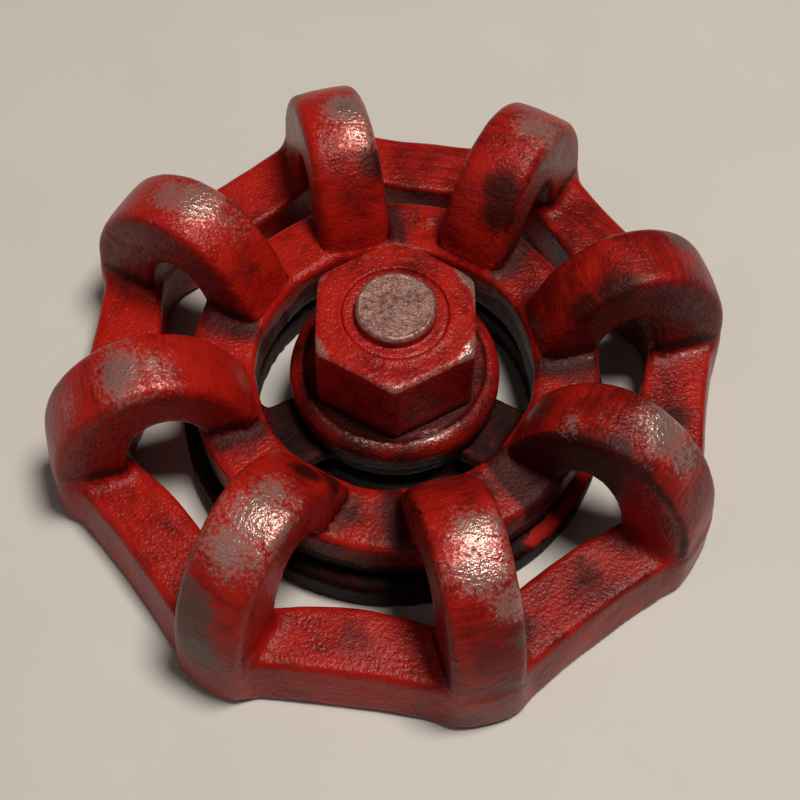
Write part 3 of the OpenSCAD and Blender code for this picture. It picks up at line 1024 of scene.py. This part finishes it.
def bare_steel():
    material, tree = new_material("bare_steel")
    at = place_mm(tree)
    z = put(tree, "ShaderNodeSeparateXYZ", {0: at}).outputs[2]
    mid, fine, grit = grain(tree, at, 3.0, 3), grain(tree, at, 0.8, 4, 0.7), grain(tree, at, 0.32, 3, 0.6)
    drawn = put(tree, "ShaderNodeCombineXYZ", {"Z": z}).outputs[0]
    turned = grain(tree, drawn, 0.17, 2.0)
    speck = ramp(tree, add(tree, fine, times(tree, grit, 0.8), times(tree, mid, 0.4)), 0.86, 1.38)
    colour = blend_colour(tree, speck, rgb(0.40, 0.25, 0.22), rgb(0.14, 0.036, 0.028))
    rough = blend_value(tree, fine, 0.32, 0.55)
    height = add(tree, times(tree, fine, 0.08), times(tree, grit, 0.06), times(tree, turned, 0.02))

    side = ramp(tree, z, STEM_TOP - 0.15, STEM_TOP - 1.1)
    low = ramp(tree, z, STEM_TOP - POINT_H - 0.6, STEM_TOP - POINT_H - 1.2)
    red = times(tree, side, calc(tree, "SUBTRACT", 1.0, low))
    paint, paint_rough, _, paint_height = paint_layers(tree, at)
    colour = blend_colour(tree, red, colour, paint)
    rough = blend_value(tree, red, rough, paint_rough)
    height = blend_value(tree, red, height, paint_height)
    metal = blend_value(tree, red, 0.6, 0.0)
    shade(tree, colour, rough, metal, height, specular=0.3)
    return material


def turned_bronze():
    material, tree = new_material("turned_bronze")
    at = place_mm(tree)
    r = put(tree, "ShaderNodeVectorMath", {0: at}, operation="LENGTH").outputs["Value"]
    rings = put(tree, "ShaderNodeTexNoise", {"Vector": put(tree, "ShaderNodeCombineXYZ", {
        "X": r}).outputs[0], "Scale": 5.0, "Detail": 3.0}).outputs["Fac"]
    fine = grain(tree, at, 1.5, 4)
    colour = blend_colour(tree, fine, rgb(0.42, 0.25, 0.10), rgb(0.60, 0.40, 0.18))
    shade(tree, colour, blend_value(tree, fine, 0.25, 0.45), 1.0, times(tree, rings, 0.03))
    return material


def pale_floor():
    material, tree = new_material("pale_floor")
    at = place_mm(tree)
    fine, mid = grain(tree, at, 1.5, 4), grain(tree, at, 30, 3)
    colour = blend_colour(tree, mid, rgb(0.56, 0.56, 0.54), rgb(0.62, 0.62, 0.60))
    shade(tree, colour, blend_value(tree, fine, 0.6, 0.75), 0.0, times(tree, fine, 0.02))
    return material


# ---- pieces on the frame ----

PAINT, CASTING, STEEL, BRONZE = red_paint(), dark_casting(), bare_steel(), turned_bronze()


def fit(piece, node, body):
    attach(piece, body)
    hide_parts(node)


for wheel_node, wheel_piece in make_wheel(PAINT).items():
    fit(wheel_piece, wheel_node, "handwheel")

disc = np.array([HUB_R + 1, HUB_R + 1, 0])
fit(cast_piece("hub_boss_cast", hub_part, casting, -disc + (0, 0, HUB_Z1), disc + (0, 0, HUB_Z2),
               HUB_STEP, CASTING, HUB_SKIN), "hub_boss", "handwheel")
for k in range(ARMS):
    a = FIRST_ARM + k * math.tau / ARMS
    middle = np.array([math.cos(a), math.sin(a), 0]) * (HUB_R + RING_R1) / 2
    fit(cast_piece(f"hub_arm_{k + 1}_cast", arm_part(k), casting,
                   middle + (-10, -10, RING_Z1 - 1), middle + (10, 10, ARM_TOP + 4),
                   ARM_STEP, CASTING, HUB_SKIN), f"hub_arm_{k + 1}", "handwheel")

wide = np.array([BASE_R + 1, BASE_R + 1, 0])
fit(cast_piece("base_ring_cast", base_ring_part, base_field, -wide, wide + (0, 0, BASE_H), BASE_STEP,
               CASTING, BASE_SKIN, base_wear), "base_ring", "base")
fit(cast_piece("base_spider_cast", base_spider_part, base_field, -wide, wide + (0, 0, BASE_H), BASE_STEP,
               CASTING, BASE_SKIN), "base_spider", "base")

seat = np.array([COLLAR_R + 1, COLLAR_R + 1, 0])
fit(cast_piece("collar_cast", collar_field, collar_field, -seat + (0, 0, HUB_Z2 - 0.1),
               seat + (0, 0, COLLAR_TOP), COLLAR_STEP, PAINT, COLLAR_SKIN, collar_wear_shade_and_highlight),
    "collar", "collar")
fit(cast_piece("hex_nut_cast", nut_field, nut_field, -seat + (0, 0, NUT_Z1 - 0.15),
               seat + (0, 0, NUT_Z2 + 0.5), NUT_STEP, PAINT, NUT_SKIN, nut_wear_and_shade),
    "hex_nut", "nut")
fit(make_stem(STEEL), "stem", "handwheel")

for name, material in (("stem_bush", BRONZE), ("thrust_washer", BRONZE), ("retaining_ring", STEEL)):
    node_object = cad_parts[name]
    node_object.data.materials.clear()
    node_object.data.materials.append(material)
    node_object.modifiers.new("joined_facets", "WELD").merge_threshold = 1e-6
    bevel = node_object.modifiers.new("broken_edges", "BEVEL")
    bevel.width = 0.2 * MM
    bevel.segments = 2
    bevel.limit_method = "ANGLE"


# ---- floor, light ----

def make_floor(size=5.0):
    mesh = bpy.data.meshes.new("floor")
    h = size / 2
    mesh.from_pydata([(-h, -h, 0), (h, -h, 0), (h, h, 0), (-h, h, 0)], [], [(0, 1, 2, 3)])
    floor = bpy.data.objects.new("floor", mesh)
    bpy.context.collection.objects.link(floor)
    mesh.materials.append(pale_floor())


def area_light(name, place, size, power, colour=(1, 1, 1)):
    light = bpy.data.lights.new(name, "AREA")
    light.shape = "DISK"
    light.size = size
    light.energy = power
    light.color = colour
    obj = bpy.data.objects.new(name, light)
    bpy.context.collection.objects.link(obj)
    obj.location = place
    obj.rotation_euler = (-Vector(place)).to_track_quat("-Z", "Y").to_euler()


def make_lights():
    area_light("key", (0.20, 0.02, 0.84), 0.24, 6.8, (1.0, 0.90, 0.80))
    area_light("fill", (-0.55, -0.45, 0.7), 0.8, 0.7, (1.0, 0.95, 0.90))
    world = bpy.data.worlds.new("studio")
    world.use_nodes = True
    world.node_tree.nodes["Background"].inputs["Color"].default_value = (0.95, 0.93, 0.90, 1)
    world.node_tree.nodes["Background"].inputs["Strength"].default_value = 0.05
    bpy.context.scene.world = world


make_floor()
make_lights()
bpy.context.scene.view_settings.view_transform = "Standard"
